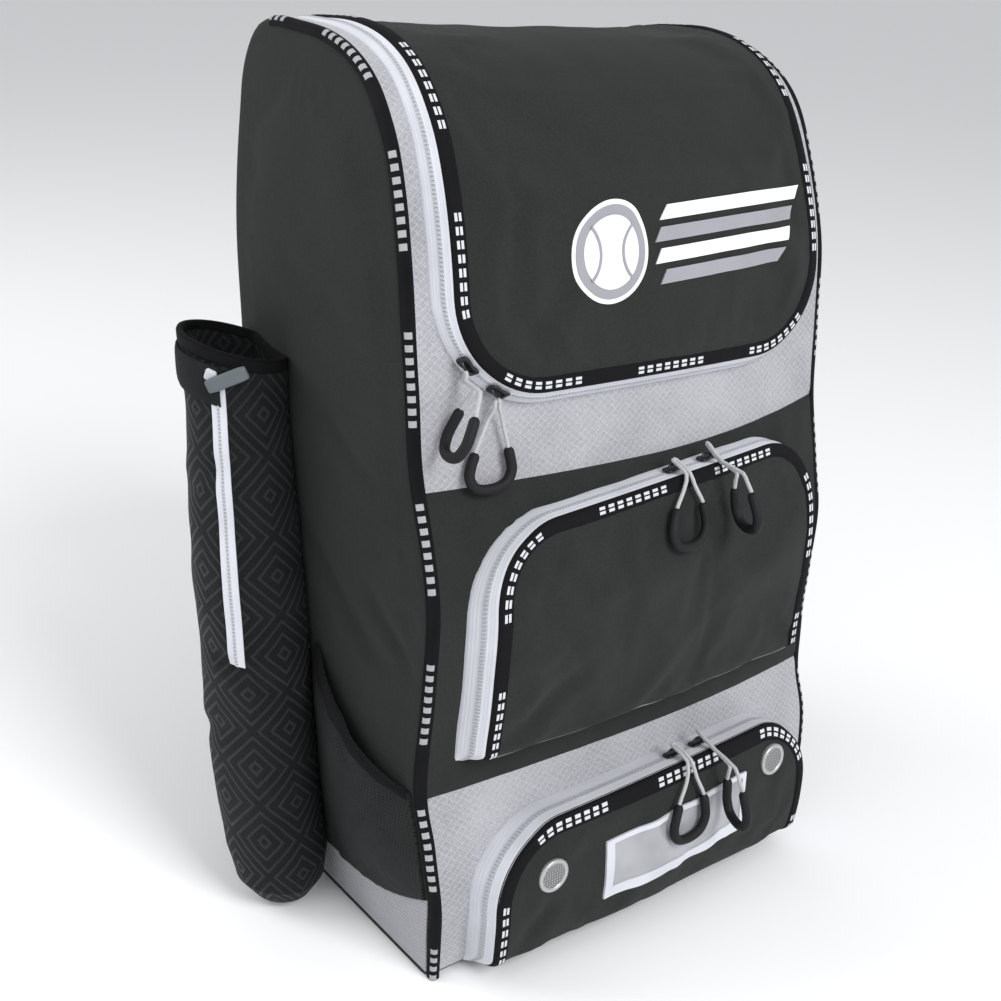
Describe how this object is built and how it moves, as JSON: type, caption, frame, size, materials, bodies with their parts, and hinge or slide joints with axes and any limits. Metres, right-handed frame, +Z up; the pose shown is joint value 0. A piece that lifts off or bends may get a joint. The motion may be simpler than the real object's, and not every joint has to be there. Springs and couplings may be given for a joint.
{
  "type": "baseball bat backpack",
  "caption": "Tall baseball backpack with a rounded zip lid, stacked zipped front pockets, mesh side pockets and a bat sleeve.",
  "frame": {"origin": "middle of the flat base, on the floor that the bag stands on", "axes": "+Z up, the front pockets face -Y, +X is to the right when the front is looked at"},
  "size_m": [0.4693, 0.3892, 0.6185],
  "materials": {
    "dark_fabric": "charcoal woven polyester",
    "grey_fabric": "light grey dobby weave",
    "zip_tape": "near-white woven zip tape",
    "binding": "black binding tape with pale marks",
    "mesh_fabric": "black fine mesh",
    "embossed_fabric": "black coated cloth, embossed",
    "webbing": "black webbing",
    "slider_metal": "dark painted",
    "cord": "pale braided cord",
    "moulded_rubber": "black moulded, matt",
    "vent_metal": "satin",
    "clear_film": "clear flexible film over a pale card",
    "buckle_plastic": "grey moulded"
  },
  "bodies": {
    "root": {"base_panel_left": "grey_fabric", "base_panel_right": "grey_fabric", "body_shell": "dark_fabric", "panel_upper": "grey_fabric", "panel_middle": "dark_fabric", "panel_lower": "grey_fabric", "lid_zip_tape": "zip_tape", "lid_binding": "binding", "lid_flap": "dark_fabric", "mid_zip_tape": "zip_tape", "mid_binding": "binding", "mid_flap": "dark_fabric", "low_zip_tape": "zip_tape", "low_binding": "binding", "low_flap": "dark_fabric", "side_binding_left": "binding", "side_binding_right": "binding", "mesh_pocket_left": "mesh_fabric", "mesh_pocket_right": "mesh_fabric", "bat_sleeve": "embossed_fabric", "sleeve_zip": "zip_tape", "sleeve_strap": "webbing", "sleeve_buckle": "buckle_plastic", "slider_lid_outer": "slider_metal", "pull_cord_lid_outer": "cord", "pull_grip_lid_outer": "moulded_rubber", "slider_lid_inner": "slider_metal", "pull_cord_lid_inner": "cord", "pull_grip_lid_inner": "moulded_rubber", "slider_mid_left": "slider_metal", "pull_cord_mid_left": "cord", "pull_grip_mid_left": "moulded_rubber", "slider_mid_right": "slider_metal", "pull_cord_mid_right": "cord", "pull_grip_mid_right": "moulded_rubber", "slider_low_left": "slider_metal", "pull_cord_low_left": "cord", "pull_grip_low_left": "moulded_rubber", "slider_low_right": "slider_metal", "pull_cord_low_right": "cord", "pull_grip_low_right": "moulded_rubber", "vent_left": "vent_metal", "vent_right": "vent_metal", "window_frame": "zip_tape", "window_card": "clear_film", "back_pad": "mesh_fabric", "shoulder_strap_left": "mesh_fabric", "strap_webbing_left": "webbing", "shoulder_strap_right": "mesh_fabric", "strap_webbing_right": "webbing", "haul_handle": "webbing", "compartment_floor": "dark_fabric", "pocket_wall": "dark_fabric"}
  },
  "joints": []
}
